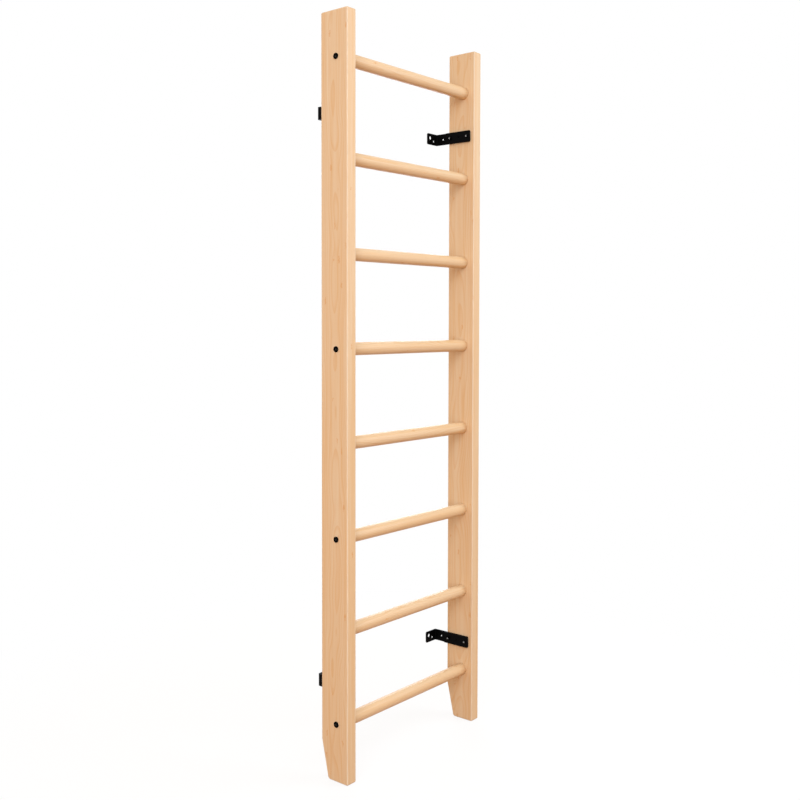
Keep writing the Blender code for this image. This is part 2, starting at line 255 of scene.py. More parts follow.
# %% [markdown]
# ## Light and floor
#
# Product pictures like this one are lit by large soft lamps, so that round wood shows a
# broad sheen and no hard shadow. A picture of a studio wrapped round the scene could do it
# too, but lamps can be moved one by one until each face of the object has its brightness.
# Two stand on the left. One in front on the right whitens the front faces, one hangs over
# the front for the tops of the rungs, and one stands behind for the sides that the photograph
# doesn't show. The lamps are slightly cool and the floor throws a warm light back, so bright
# parts are pale and parts in shade are orange. The background is white because the world and
# the floor show white to the camera, not because the object gets more light. Under the
# object the floor still takes its shadow.

# %% Light from all round, which the camera sees as white
WHITE = (1.0, 1.0, 1.0)
AMBIENT_ABOVE = (0.74, 0.62, 0.50)
AMBIENT_BELOW = (0.44, 0.25, 0.05)
HORIZON_BLUR = 0.35


def seen_directly(graph):
    """1 for rays from the camera, or off gloss or through glass, and 0 for all others."""
    camera_ray = graph.node("ShaderNodeLightPath", output="Is Camera Ray")
    gloss_ray = camera_ray.other("Is Glossy Ray")
    glass_ray = camera_ray.other("Is Transmission Ray")
    return graph.maths("MAXIMUM", camera_ray, graph.maths("MAXIMUM", gloss_ray, glass_ray))


world = bpy.data.worlds.new("studio_air")
world.use_nodes = True
world.node_tree.nodes.clear()
graph = Graph(world.node_tree)
direction = graph.node("ShaderNodeTexCoord", output="Generated")
upwards = graph.part(direction, "Z")
air = graph.blend(graph.rise(upwards, -HORIZON_BLUR, HORIZON_BLUR), AMBIENT_BELOW, AMBIENT_ABOVE)
shown = graph.blend(seen_directly(graph), air, WHITE)
light = graph.node("ShaderNodeBackground", values={"Color": shown, "Strength": 1.0})
graph.node("ShaderNodeOutputWorld", values={"Surface": light})
bpy.context.scene.world = world
print("light from above", AMBIENT_ABOVE, "and from below", AMBIENT_BELOW)

# %% A floor that shows white
FLOOR_SIZE = 30.0
FLOOR_PAINT = (0.95, 0.95, 0.95)
FLOOR_BOUNCE = (0.36, 0.15, 0.01)
FLOOR_GLOW = 0.86
SHADOW_REACH = (0.7, 1.8)

half = FLOOR_SIZE / 2
mesh = bpy.data.meshes.new("floor")
corners = [(-half, -half, 0), (half, -half, 0), (half, half, 0), (-half, half, 0)]
mesh.from_pydata(corners, [], [(0, 1, 2, 3)])
floor = add_object("floor", mesh)
material, graph = new_material("studio_floor")
place = graph.node("ShaderNodeTexCoord", output="Object")
reach = graph.vectors("LENGTH", place, output="Value")
glow_share = FLOOR_GLOW + (1 - FLOOR_GLOW) * graph.rise(reach, *SHADOW_REACH)
paint = graph.node("ShaderNodeBsdfDiffuse", values={"Color": (*FLOOR_PAINT, 1.0)})
glow = graph.node("ShaderNodeEmission", values={"Color": (*WHITE, 1.0)})
shown = graph.node("ShaderNodeMixShader", values={0: glow_share, 1: paint, 2: glow})
bounce = graph.node("ShaderNodeBsdfDiffuse", values={"Color": (*FLOOR_BOUNCE, 1.0)})
choice = {0: seen_directly(graph), 1: bounce, 2: shown}
surface = graph.node("ShaderNodeMixShader", values=choice)
graph.node("ShaderNodeOutputMaterial", values={"Surface": surface})
mesh.materials.append(material)
print("floor of", FLOOR_SIZE, "m")

# %% Lamps
# Each lamp has its place, its aim, its width and height, its watts and its colour.
LEFT_COLOUR = (0.96, 1.00, 1.10)
FRONT_COLOUR = (0.84, 0.99, 1.12)
OVERHEAD_COLOUR = (0.76, 1.00, 1.20)
BACK_COLOUR = (0.90, 1.00, 1.15)
LAMPS = {
    "tall_left_lamp": ((-3.8, -2.1, 2.0), (0.0, -0.1, 1.2), (2.2, 3.8), 100.0, LEFT_COLOUR),
    "high_left_lamp": ((-4.0, -2.2, 3.4), (0.0, -0.1, 1.3), (2.4, 2.8), 14.0, LEFT_COLOUR),
    "front_right_lamp": ((2.2, -3.2, 2.9), (0.0, -0.1, 1.2), (2.4, 3.0), 84.0, FRONT_COLOUR),
    "over_front_lamp": ((-1.2, -2.8, 3.9), (0.0, -0.1, 1.3), (2.6, 2.2), 17.0, OVERHEAD_COLOUR),
    "back_right_lamp": ((3.2, 2.8, 2.2), (0.0, -0.1, 1.2), (2.4, 3.0), 66.0, BACK_COLOUR),
}


def add_lamp(name, place, aim, size, power, colour):
    """A rectangular soft lamp that shines from its place towards its aim."""
    lamp = bpy.data.lights.new(name, "AREA")
    lamp.shape = "RECTANGLE"
    lamp.size, lamp.size_y = size
    lamp.energy = power
    lamp.color = colour
    stand = add_object(name, lamp)
    stand.location = place
    stand.rotation_euler = (Vector(aim) - Vector(place)).to_track_quat("-Z", "Y").to_euler()
    print(name, "gives", power, "W")


for name, settings in LAMPS.items():
    add_lamp(name, *settings)

# %% [markdown]
# ## Wood
#
# Both the boards and the rungs are a pale, even hardwood under a satin lacquer. A picture
# wrapped on each face would show seams at the edges, so the wood is solid instead: the
# pattern is worked out in space as in a log, from the distance to the tree's heart. Growth
# rings then cross a face as arches, run straight down a narrow edge and close into curves
# on sawn ends by themselves. Each piece carries an attribute, log_shift, that says where in
# its log it was cut, so no two pieces match. The long arrises of the boards are painted
# paler and whiter: partly because they are sanded last, and partly as a painted highlight
# where a rounded edge catches the lamps. Their normals face neither straight ahead nor
# straight sideways, and that is how the material finds them.

# %% Where a point lies in its log
def log_place(graph, along):
    """Where a point lies in its log: across, across, and along the heart."""
    place = graph.node("ShaderNodeTexCoord", output="Object")
    x = graph.part(place, "X")
    y, z = x.other("Y"), x.other("Z")
    turned = (x, y, z) if along == "Z" else (z, y, x)
    cut = graph.node("ShaderNodeCombineXYZ", values=dict(enumerate(turned)))
    shift = graph.node("ShaderNodeAttribute", {"attribute_name": "log_shift"}, output="Vector")
    return graph.vectors("ADD", cut, shift)


def squeezed(graph, log, factor):
    """The log squeezed along its heart, which draws a pattern out along the grain."""
    return graph.stretch(log, (1.0, 1.0, factor))


def wander(graph, place, scale, reach):
    """A soft random move, up to half the reach each way, that changes with the place."""
    stray = graph.noise(place, scale, output="Color")
    return graph.stretch(graph.vectors("SUBTRACT", stray, (0.5, 0.5, 0.5)), reach)


# %% Growth rings
RING_SPACING = 0.0030
SWELL_SQUEEZE = 0.30
SWELL_SCALE = 7.0
SWELL_REACH = (0.040, 0.040, 0.0)
UNEVEN_SCALE = 90.0
UNEVEN_YEARS = 1.6
LATE_WOOD = (0.45, 0.95)


def growth_rings(graph, log):
    """A dark line where each year's growth ends, bent by slow swells in the tree."""
    swell = wander(graph, squeezed(graph, log, SWELL_SQUEEZE), SWELL_SCALE, SWELL_REACH)
    bent = graph.stretch(graph.vectors("ADD", log, swell), (1.0, 1.0, 0.0))
    reach = graph.vectors("LENGTH", bent, output="Value")
    values = {"W": reach, "Scale": UNEVEN_SCALE}
    uneven = graph.node("ShaderNodeTexNoise", {"noise_dimensions": "1D"}, values)
    season = graph.maths("FRACT", reach / RING_SPACING + uneven * UNEVEN_YEARS)
    line = graph.rise(season, *LATE_WOOD) * (1 - graph.rise(season, LATE_WOOD[1], 1.0))
    return line, season


# %% Fibres, rays and flecks
# Each kind of fibre has its squeeze along the grain, its scale and its detail.
BAND = (0.025, 55.0, 2.0)
STREAK = (0.018, 260.0, 3.0)
FIBRE = (0.014, 1100.0, 3.0)
RAY_MARKS = {"squeeze": 0.16, "scale": 720.0, "size": (0.12, 0.34), "share": (0.55, 0.75)}
FLECK_MARKS = {"squeeze": 0.26, "scale": 42.0, "size": (0.05, 0.16), "share": (0.50, 0.60)}
FLECK_WANDER_SCALE = 160.0
FLECK_WANDER = (0.010, 0.010, 0.030)


def fibres(graph, log):
    """Streaks along the grain: broad bands, streaks and fine fibres."""
    made = []
    for squeeze, scale, detail in (BAND, STREAK, FIBRE):
        made.append(graph.noise(squeezed(graph, log, squeeze), scale, detail))
    return made


def marks(graph, place, squeeze, scale, size, share):
    """Scattered marks drawn out along the grain: 1 on a mark, and only a share are kept."""
    values = {"Vector": squeezed(graph, place, squeeze), "Scale": scale}
    away = graph.node("ShaderNodeTexVoronoi", values=values, output="Distance")
    lot = graph.node("ShaderNodeSeparateColor", values={0: away.other("Color")}, output=0)
    return (1 - graph.rise(away, *size)) * graph.rise(lot, *share)


def rays_and_flecks(graph, log):
    """Short ray marks all over, and a few larger brown flecks with ragged edges."""
    ragged = graph.vectors("ADD", log, wander(graph, log, FLECK_WANDER_SCALE, FLECK_WANDER))
    return marks(graph, log, **RAY_MARKS), marks(graph, ragged, **FLECK_MARKS)


# %% Sawn ends, and arrises that are sanded pale and carry a painted highlight
END_TURN = (0.55, 0.95)
ARRIS_TURN = (0.12, 0.42)


def end_grain(graph, along):
    """1 on faces sawn across the grain, and 0 on faces along it."""
    facing = graph.node("ShaderNodeTexCoord", output="Normal")
    return graph.rise(graph.maths("ABSOLUTE", graph.part(facing, along)), *END_TURN)


def rounded_edge(graph):
    """1 on the rounded long edges of a board, and 0 on its faces and on round rungs."""
    facing = graph.node("ShaderNodeTexCoord", output="Normal")
    x = graph.part(facing, "X")
    return graph.rise(graph.maths("ABSOLUTE", x * x.other("Y")), *ARRIS_TURN)


# %% Wood colours and shares
PALE_WOOD = (0.780, 0.618, 0.428)
DEEP_WOOD = (0.722, 0.452, 0.215)
RING_LINE = (0.670, 0.350, 0.118)
RAY_BROWN = (0.670, 0.355, 0.122)
FLECK_BROWN = (0.650, 0.270, 0.062)
END_GRAIN = (0.620, 0.370, 0.165)
# Sanded arrises are paler, and this whiter colour also stands in for a painted highlight on them.
PALE_ARRIS_AND_HIGHLIGHT = (0.795, 0.725, 0.605)
MEAN_TONE = 0.40
BAND_TONE = 1.1
STREAK_TONE = 0.55
FIBRE_TONE = 0.25
SEASON_TONE = 0.08
LINE_SHARE = 0.26
RAY_SHARE = 0.16
FLECK_SHARE = 0.50
ARRIS_AND_HIGHLIGHT_SHARE = 0.50
END_SHARE = 0.40
END_LINE_SHARE = 0.35
LACQUER_ROUGHNESS = 0.38
FIBRE_ROUGHNESS = 0.14
END_ROUGHNESS = 0.20
RAY_POLISH = 0.04
FIBRE_RISE = 0.6
STREAK_RISE = 0.4
LINE_DIP = 0.5
RAY_DIP = 0.6
WOOD_BUMP = (0.20, 0.0002)
LACQUER_GLOSS = 0.22


# %% Wood finish
def wood(name, along):
    """A pale hardwood under satin lacquer, its grain along the given axis."""
    material, graph = new_material(name)
    log = log_place(graph, along)
    line, season = growth_rings(graph, log)
    band, streak, fibre = fibres(graph, log)
    ray, fleck = rays_and_flecks(graph, log)
    end = end_grain(graph, along)
    tone = MEAN_TONE + band.swing(BAND_TONE) + streak.swing(STREAK_TONE)
    tone = tone + fibre.swing(FIBRE_TONE) + season * SEASON_TONE
    colour = graph.blend(tone, PALE_WOOD, DEEP_WOOD)
    colour = graph.blend(line * LINE_SHARE, colour, RING_LINE)
    colour = graph.blend(ray * (1 - end) * RAY_SHARE, colour, RAY_BROWN)
    colour = graph.blend(fleck * (1 - end) * FLECK_SHARE, colour, FLECK_BROWN)
    # Painted highlight, together with the paler sanded wood, on the rounded arrises.
    colour = graph.blend(rounded_edge(graph) * ARRIS_AND_HIGHLIGHT_SHARE, colour, PALE_ARRIS_AND_HIGHLIGHT)
    colour = graph.blend(end * (END_SHARE + line * END_LINE_SHARE), colour, END_GRAIN)
    roughness = LACQUER_ROUGHNESS + fibre.swing(FIBRE_ROUGHNESS)
    roughness = roughness + end * END_ROUGHNESS - ray * RAY_POLISH
    height = fibre * FIBRE_RISE + streak * STREAK_RISE - line * LINE_DIP - ray * RAY_DIP
    finish_surface(graph, colour, roughness, height, WOOD_BUMP, LACQUER_GLOSS)
    return material


BOARD_WOOD = wood("lacquered_board", "Z")
RUNG_WOOD = wood("lacquered_rung", "X")
print("wood nodes", len(BOARD_WOOD.node_tree.nodes))

# %% [markdown]
# ## Black steel
#
# The brackets are powder coated. The powder melts into a skin with a fine, leathery ripple
# that is duller than paint. The screws and bolts are blackened instead, so they keep the
# turning marks of the lathe and shine a little more. Both are nearly black, and it is their
# gloss and ripple that show the form, so the detail is in the roughness and the bump. The
# coat is slightly rubbed at its edges, where an attribute called edge says so. The key has
# worn the fasteners bare in a ring round the recess, the screws far more than the bolts.

# %% Powder coat
COAT_BLACK = (0.0018, 0.0018, 0.0020)
COAT_RUBBED = (0.016, 0.016, 0.017)
RIPPLE_SCALE = 900.0
SPECK_SCALE = 3600.0
COAT_CLOUD_SCALE = 60.0
RUB_PATCHES = (0.42, 0.66)
RUB_SHARE = 0.6
COAT_ROUGHNESS = 0.46
CLOUD_ROUGHNESS = 0.14
SPECK_ROUGHNESS = 0.10
RUB_POLISH = 0.06
SPECK_RISE = 0.35
COAT_BUMP = (0.35, 0.00012)
COAT_GLOSS = 0.035

POWDER_COAT, graph = new_material("powder_coat")
place = graph.node("ShaderNodeTexCoord", output="Object")
ripple = graph.noise(place, RIPPLE_SCALE)
speck = graph.noise(place, SPECK_SCALE)
cloud = graph.noise(place, COAT_CLOUD_SCALE)
edge = graph.node("ShaderNodeAttribute", {"attribute_name": "edge"}, output="Fac")
rubbed = edge * graph.rise(cloud, *RUB_PATCHES)
colour = graph.blend(rubbed * RUB_SHARE, COAT_BLACK, COAT_RUBBED)
roughness = COAT_ROUGHNESS + cloud.swing(CLOUD_ROUGHNESS) + speck.swing(SPECK_ROUGHNESS)
roughness = roughness - rubbed * RUB_POLISH
height = ripple + speck * SPECK_RISE
finish_surface(graph, colour, roughness, height, COAT_BUMP, COAT_GLOSS)
print("powder coat nodes", len(POWDER_COAT.node_tree.nodes))

# %% Black oxide
OXIDE_BLACK = (0.0012, 0.0012, 0.0014)
BARE_STEEL = (0.460, 0.455, 0.445)
KEY_RUB = (0.0008, 0.0012, 0.0027, 0.0032)
OXIDE_CLOUD = (420.0, 3.0)
GRIT_SCALE = 3000.0
TURNING_MARKS = 26000.0
MARK_WANDER = 4.0
WORN_PATCHES = (0.36, 0.54)
OXIDE_ROUGHNESS = 0.36
GRIT_ROUGHNESS = 0.14
WORN_POLISH = 0.08
MARK_RISE = 0.5
OXIDE_BUMP = (0.30, 0.00006)
OXIDE_GLOSS = 0.02

BLACK_OXIDE, graph = new_material("blackened_steel")
own = graph.node("ShaderNodeAttribute", {"attribute_name": "turned_place"}, output="Vector")
across = graph.stretch(own, (0.0, 1.0, 1.0))
reach = graph.vectors("LENGTH", across, output="Value")
cloud = graph.noise(own, *OXIDE_CLOUD)
grit = graph.noise(own, GRIT_SCALE)
lathe_marks = graph.maths("SINE", reach * TURNING_MARKS + cloud * MARK_WANDER)
wear = graph.node("ShaderNodeAttribute", {"attribute_name": "wear"}, output="Fac")
rubbed = graph.rise(reach, *KEY_RUB[:2]) * (1 - graph.rise(reach, *KEY_RUB[2:]))
worn = wear * rubbed * graph.rise(cloud, *WORN_PATCHES)
colour = graph.blend(worn, OXIDE_BLACK, BARE_STEEL)
roughness = OXIDE_ROUGHNESS + grit.swing(GRIT_ROUGHNESS) - worn * WORN_POLISH
height = lathe_marks * MARK_RISE + grit
finish_surface(graph, colour, roughness, height, OXIDE_BUMP, OXIDE_GLOSS, metallic=worn)
print("black oxide nodes", len(BLACK_OXIDE.node_tree.nodes))

# %% [markdown]
# ## Helpers for making pieces
#
# Several pieces are turned, cut or pierced, so the means to do that come first. A turned
# piece is a list of rings, each given by its place, its radius and, for a hexagon, its width
# across the flats: a point of a ring lies on the circle or on the hexagon, whichever is
# nearer the axis. Blender's own cylinders would do for plain shanks, but one list of rings
# also gives heads, recesses, bores and points as a single closed skin.

# %% Turned forms
SIDES = 48
WIDE = 1.0


def ring_radius(turn, radius, flats):
    """How far a ring's point is from the axis, for a circle cut by a hexagon."""
    if not flats:
        return radius
    from_flat = (turn + math.pi / 6) % (math.pi / 3) - math.pi / 6
    return min(radius, flats / 2 / math.cos(from_flat))


def quarter_round(radius, steps):
    """How far each point of a rounded edge is down from the top and in from the side."""
    turns = [math.pi / 2 * step / steps for step in range(steps + 1)]
    return [(radius * (1 - math.cos(turn)), radius * (1 - math.sin(turn))) for turn in turns]


def skin(bm, loops):
    """Join loops of points, each to the next, and close both ends."""
    bm.faces.new(loops[0])
    bm.faces.new(loops[-1])
    for near, far in zip(loops, loops[1:]):
        for step in range(len(near)):
            after = (step + 1) % len(near)
            bm.faces.new((near[step], near[after], far[after], far[step]))


def add_turned(bm, rings, sides=SIDES, centre=(0, 0, 0)):
    """Add a solid turned about an axis along X, from its rings in order."""
    loops = []
    for x, radius, flats in rings:
        loop = []
        for step in range(sides):
            turn = 2 * math.pi * step / sides
            reach = ring_radius(turn, radius, flats)
            point = Vector(centre) + Vector((x, reach * math.cos(turn), reach * math.sin(turn)))
            loop.append(bm.verts.new(point))
        loops.append(loop)
    skin(bm, loops)


# %% Finished meshes and cuts
MERGE = 0.000002
SHARP = math.radians(32)
BROAD_FACE_WEIGHT = 100


def mesh_of(bm, name):
    """A finished mesh with outward faces, smooth where it curves and crisp at its edges."""
    bmesh.ops.recalc_face_normals(bm, faces=bm.faces[:])
    mesh = bpy.data.meshes.new(name)
    bm.to_mesh(mesh)
    bm.free()
    mesh.shade_smooth()
    mesh.set_sharp_from_angle(angle=SHARP)
    return mesh


def applied(piece, name):
    """The evaluated mesh of an object, whose modifiers are used up and which is removed."""
    depsgraph = bpy.context.evaluated_depsgraph_get()
    mesh = bpy.data.meshes.new_from_object(piece.evaluated_get(depsgraph), depsgraph=depsgraph)
    mesh.name = name
    bpy.data.objects.remove(piece, do_unlink=True)
    return mesh


def merged(mesh):
    """A mesh as a bmesh, with its doubled points merged."""
    bm = bmesh.new()
    bm.from_mesh(mesh)
    bmesh.ops.remove_doubles(bm, verts=bm.verts[:], dist=MERGE)
    return bm


def cut_out(mesh, cutter, name):
    """A mesh with another taken out of it."""
    body = add_object(name, mesh)
    tool = add_object(name + "_tool", cutter)
    cut = body.modifiers.new("cut", "BOOLEAN")
    cut.operation = "DIFFERENCE"
    cut.solver = "EXACT"
    cut.object = tool
    carved = applied(body, name)
    bpy.data.objects.remove(tool, do_unlink=True)
    return mesh_of(merged(carved), name)


def even_shading(mesh, name):
    """Let broad flat faces rule the shading, so that rounded edges shade cleanly."""
    piece = add_object(name, mesh)
    weigh = piece.modifiers.new("weigh", "WEIGHTED_NORMAL")
    weigh.keep_sharp = True
    weigh.weight = BROAD_FACE_WEIGHT
    return applied(piece, name)


def fit_piece(name, mesh, material, node):
    """Make the finished piece: its finish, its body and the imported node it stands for."""
    mesh.materials.clear()
    mesh.materials.append(material)
    piece = add_object(name, mesh)
    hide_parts(node)
    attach(piece, "root")


# %% [markdown]
# ## Uprights
#
# Each upright is one planed board with rounded arrises. It could be a box with a bevel, but
# the ends and the foot need their own radii: the back of the foot is cut away at a slant to
# clear a skirting board. So the side view is drawn as an outline with rounded corners. The
# board is then lofted through its thickness, from outlines that grow over the first arris
# and shrink over the last one, because a bevel on such close corners would be squeezed flat.
# Then the rung sockets, the bolt holes and the screw holes are drilled.

# %% Board outline
ARRIS_RADIUS = 0.004
ARRIS_STEPS = 6
END_RADIUS = 0.005
RELIEF_HEIGHT = 0.118
RELIEF_DEPTH = 0.027
RELIEF_RADIUS = 0.010
CORNER_STEPS = 8


def rounded_corner(before, corner, after, radius, inset):
    """Points of the arc that rounds one corner of an outline, moved inwards by the inset."""
    before, corner, after = Vector(before), Vector(corner), Vector(after)
    back = (before - corner).normalized()
    ahead = (after - corner).normalized()
    half = back.angle(ahead) / 2
    centre = corner + (back + ahead).normalized() * (radius / math.sin(half))
    start = corner + back * (radius / math.tan(half)) - centre
    sweep = start.angle_signed(corner + ahead * (radius / math.tan(half)) - centre)
    start *= 1 - inset / radius
    arc = []
    for step in range(CORNER_STEPS + 1):
        turn = -sweep * step / CORNER_STEPS
        cos, sin = math.cos(turn), math.sin(turn)
        arc.append(centre + Vector((start.x * cos - start.y * sin, start.x * sin + start.y * cos)))
    return arc


def rounded_outline(corners, inset=0.0):
    """A closed outline from (point, radius) corners, moved inwards by the inset."""
    outline = []
    for index, (corner, radius) in enumerate(corners):
        before = corners[index - 1][0]
        after = corners[(index + 1) % len(corners)][0]
        outline.extend(rounded_corner(before, corner, after, radius, inset))
    return outline


def board_outline(inset):
    """Side view of an upright, from the front of the foot and round the back."""
    return rounded_outline([
        ((FRONT_Y, 0.0), END_RADIUS),
        ((REAR_Y - RELIEF_DEPTH, 0.0), RELIEF_RADIUS),
        ((REAR_Y, RELIEF_HEIGHT), RELIEF_RADIUS),
        ((REAR_Y, HEIGHT), END_RADIUS),
        ((FRONT_Y, HEIGHT), END_RADIUS),
    ], inset)


print("side view of", len(board_outline(0.0)), "points")

# %% What is drilled out of a board
BOLT_HOLE = 0.0038
SCREW_SHANK = {"front_screw": 0.0025, "rear_screw": 0.0035}
SOCKET_FLOOR = RUNG_END + CLEARANCE
RUNG_SIDES = 72
BORE_SIDES = 24
DRILL_OVERRUN = 0.010


def board_tools(hand):
    """Everything that is drilled in one upright: sockets, bolt holes and screw holes."""
    side = HANDS[hand]
    bm = bmesh.new()
    mouth = side * (INNER_X - DRILL_OVERRUN)
    floor = side * SOCKET_FLOOR
    beyond = side * (OUTER_X + DRILL_OVERRUN)
    for number, height in enumerate(RUNG_HEIGHTS, start=1):
        rings = [(mouth, RUNG_RADIUS + CLEARANCE, 0), (floor, RUNG_RADIUS + CLEARANCE, 0)]
        if number in BOLTED_RUNGS:
            rings += [(floor, BOLT_HOLE, 0), (beyond, BOLT_HOLE, 0)]
        add_turned(bm, rings, RUNG_SIDES, (0, RUNG_Y, height))
    for level in LEVELS:
        for kind, shank in SCREW_SHANK.items():
            low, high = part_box(f"{level}_{hand}_{kind}")
            tip = max(abs(low.x), abs(high.x)) + CLEARANCE
            spot = (low + high) / 2
            rings = [(mouth, shank + CLEARANCE, 0), (side * tip, shank + CLEARANCE, 0)]
            add_turned(bm, rings, BORE_SIDES, (0, spot.y, spot.z))
    return mesh_of(bm, "board_tools")


print("sockets", round(SOCKET_FLOOR - INNER_X, 4), "m deep")

# %% Loft and drill the boards
LOG_SHIFTS = {"left": (0.262, 0.108, 3.10), "right": (-0.395, 0.101, -7.45)}
for hand, side in HANDS.items():
    bm = bmesh.new()
    arc = quarter_round(ARRIS_RADIUS, ARRIS_STEPS)
    slices = [(INNER_X + depth, inset) for depth, inset in arc]
    slices += [(OUTER_X - depth, inset) for depth, inset in reversed(arc)]
    loops = []
    for x, inset in slices:
        loops.append([bm.verts.new((side * x, y, z)) for y, z in board_outline(inset)])
    skin(bm, loops)
    name = f"{hand}_board"
    drilled = cut_out(mesh_of(bm, name), board_tools(hand), name)
    mesh = even_shading(drilled, name)
    shift = mesh.attributes.new("log_shift", "FLOAT_VECTOR", "POINT")
    for spot in shift.data:
        spot.vector = LOG_SHIFTS[hand]
    fit_piece(name, mesh, BOARD_WOOD, f"{hand}_upright")
    print(name, len(mesh.polygons), "faces")

# %% [markdown]
# ## Rungs
#
# A rung is a turned dowel that sits in a socket at each end. All eight are the same dowel,
# and their heights follow a rule: a gap of its own at the top and at the bottom, and even
# steps between. A rule like that suits Geometry Nodes. The tree lays out a line of points,
# moves each one by the rule and puts a rung on the chosen one. A fixed seed gives each rung
# its own place in the log.

# %% Turn the dowel
RUNG_EASE = 0.0015
EASE_STEPS = 6
BORE_BOTTOM = 0.2668


def dowel(name, bored):
    """One rung about the origin, with eased ends, and bored for a bolt if it has one."""
    ease = quarter_round(RUNG_EASE, EASE_STEPS)
    rings = [(RUNG_END - back, RUNG_RADIUS - inwards, 0) for back, inwards in ease]
    if bored:
        rings = [(BORE_BOTTOM, BOLT_HOLE, 0), (RUNG_END, BOLT_HOLE, 0)] + rings
    other_end = [(-x, radius, flats) for x, radius, flats in reversed(rings)]
    bm = bmesh.new()
    add_turned(bm, rings + other_end, RUNG_SIDES)
    return add_object(name, mesh_of(bm, name))


PLAIN_DOWEL = dowel("plain_dowel", bored=False)
BORED_DOWEL = dowel("bored_dowel", bored=True)
print("dowel", len(PLAIN_DOWEL.data.polygons), "and", len(BORED_DOWEL.data.polygons), "faces")

# %% Helpers for the trees
EQUAL_WITHIN = 0.5


def new_tree(name, sockets):
    """A Geometry Nodes tree with named inputs, its graph and a term for each input."""
    tree = bpy.data.node_groups.new(name, "GeometryNodeTree")
    tree.interface.new_socket(name="Geometry", in_out="OUTPUT", socket_type="NodeSocketGeometry")
    for label, kind in sockets.items():
        tree.interface.new_socket(name=label, in_out="INPUT", socket_type="NodeSocket" + kind)
    graph = Graph(tree)
    start = graph.node("NodeGroupInput")
    return tree, graph, {label: start.other(label) for label in sockets}


def run_tree(tree, base, name, **inputs):
    """The mesh that a tree makes. Inputs are named with _ for a space."""
    piece = add_object(name, base)
    made = piece.modifiers.new(name, "NODES")
    made.node_group = tree
    labels = {socket.name: socket.identifier for socket in tree.interface.items_tree}
    for label, value in inputs.items():
        made[labels[label.replace("_", " ")]] = value
    return applied(piece, name)


def same(graph, first, second):
    """1 where two whole numbers are equal, and 0 elsewhere."""
    return graph.maths("COMPARE", first, second, EQUAL_WITHIN)


def keep_one(graph, geometry, index, number):
    """The one point whose index is a given number."""
    values = {"Geometry": geometry, "Selection": same(graph, index, number)}
    return graph.node("GeometryNodeSeparateGeometry", {"domain": "POINT"}, values)


def store(graph, geometry, name, kind, value):
    """Store a value on every point, under a name that a material can read."""
    settings = {"data_type": kind, "domain": "POINT"}
    values = {"Geometry": geometry, "Name": name, "Value": value}
    return graph.node("GeometryNodeStoreNamedAttribute", settings, values)


def finish_tree(graph, instances, finish):
    """End a tree: make the instances real and give them their finish."""
    solid = graph.shape("RealizeInstances", Geometry=instances)
    done = graph.shape("SetMaterial", Geometry=solid, Material=finish)
    graph.node("NodeGroupOutput", values={"Geometry": done})


# %% The rung tree
LOG_SEED = 11
LOG_REACH = (0.055, 0.045, 9.0)

RUNG_TREE, graph, given = new_tree("rung_ladder", {
    "Dowel": "Object", "Number": "Int", "Count": "Int", "Top height": "Float",
    "Top gap": "Float", "Bottom gap": "Float", "Bottom height": "Float",
    "Depth line": "Float", "Seed": "Int", "Finish": "Material",
})
line = graph.shape("MeshLine", Count=given["Count"])
index = graph.shape("InputIndex")
second = given["Top height"] - given["Top gap"]
last_but_one = given["Bottom height"] + given["Bottom gap"]
even = second + (last_but_one - second) * (index - 1) / (given["Count"] - 3)
first = same(graph, index, 0)
last = same(graph, index, given["Count"] - 1)
height = first * given["Top height"] + last * given["Bottom height"] + (1 - first - last) * even
spot = graph.node("ShaderNodeCombineXYZ", values={1: given["Depth line"], 2: height})
placed = graph.shape("SetPosition", Geometry=line, Position=spot)
kept = keep_one(graph, placed, index, given["Number"] - 1)
low = tuple(-reach for reach in LOG_REACH)
random = graph.node(
    "FunctionNodeRandomValue", {"data_type": "FLOAT_VECTOR"},
    {0: low, 1: LOG_REACH, "ID": given["Number"], "Seed": given["Seed"]},
)
position = graph.shape("InputPosition")
y = graph.part(position, "Y")
own = graph.node("ShaderNodeCombineXYZ", values={0: y.other("Z"), 1: y})
shift = graph.vectors("SUBTRACT", random, own)
marked = store(graph, kept, "log_shift", "FLOAT_VECTOR", shift)
item = graph.shape("ObjectInfo", Object=given["Dowel"]).other("Geometry")
rungs = graph.shape("InstanceOnPoints", Points=marked, Instance=item)
finish_tree(graph, rungs, given["Finish"])
print("rung tree nodes", len(RUNG_TREE.nodes))

# %% Set the rungs
for number in range(1, RUNG_COUNT + 1):
    bolted = number in BOLTED_RUNGS
    mesh = run_tree(
        RUNG_TREE, bpy.data.meshes.new("rung_line"), f"rung_{number}_dowel",
        Dowel=BORED_DOWEL if bolted else PLAIN_DOWEL, Number=number, Count=RUNG_COUNT,
        Top_height=RUNG_HEIGHTS[0], Top_gap=RUNG_HEIGHTS[0] - RUNG_HEIGHTS[1],
        Bottom_gap=RUNG_HEIGHTS[-2] - RUNG_HEIGHTS[-1], Bottom_height=RUNG_HEIGHTS[-1],
        Depth_line=RUNG_Y, Seed=LOG_SEED, Finish=RUNG_WOOD,
    )
    fit_piece(f"rung_{number}_dowel", mesh, RUNG_WOOD, f"rung_{number}")
    axis = min(vert.co.z for vert in mesh.vertices) + RUNG_RADIUS
    print("rung", number, "axis at", round(axis, 4), "frame", round(RUNG_HEIGHTS[number - 1], 4))
for pattern in (PLAIN_DOWEL, BORED_DOWEL):
    bpy.data.objects.remove(pattern, do_unlink=True)

# %% [markdown]
# ## Bolts and screws
#
# Four bolts on each side draw the boards on to the rungs, and two screws hold each bracket.
# Each kind is one turned form with a hexagon recess for a key. The thread is a ridge wound
# round the shank: a spiral with a three-sided profile, run out to nothing at both ends. It
# could be cut from the shank instead, but a wound ridge follows from its pitch and length
# alone, which suits Geometry Nodes. The tree winds the thread, joins it to the form and puts
# it on the chosen seat, turned for the left or the right side.

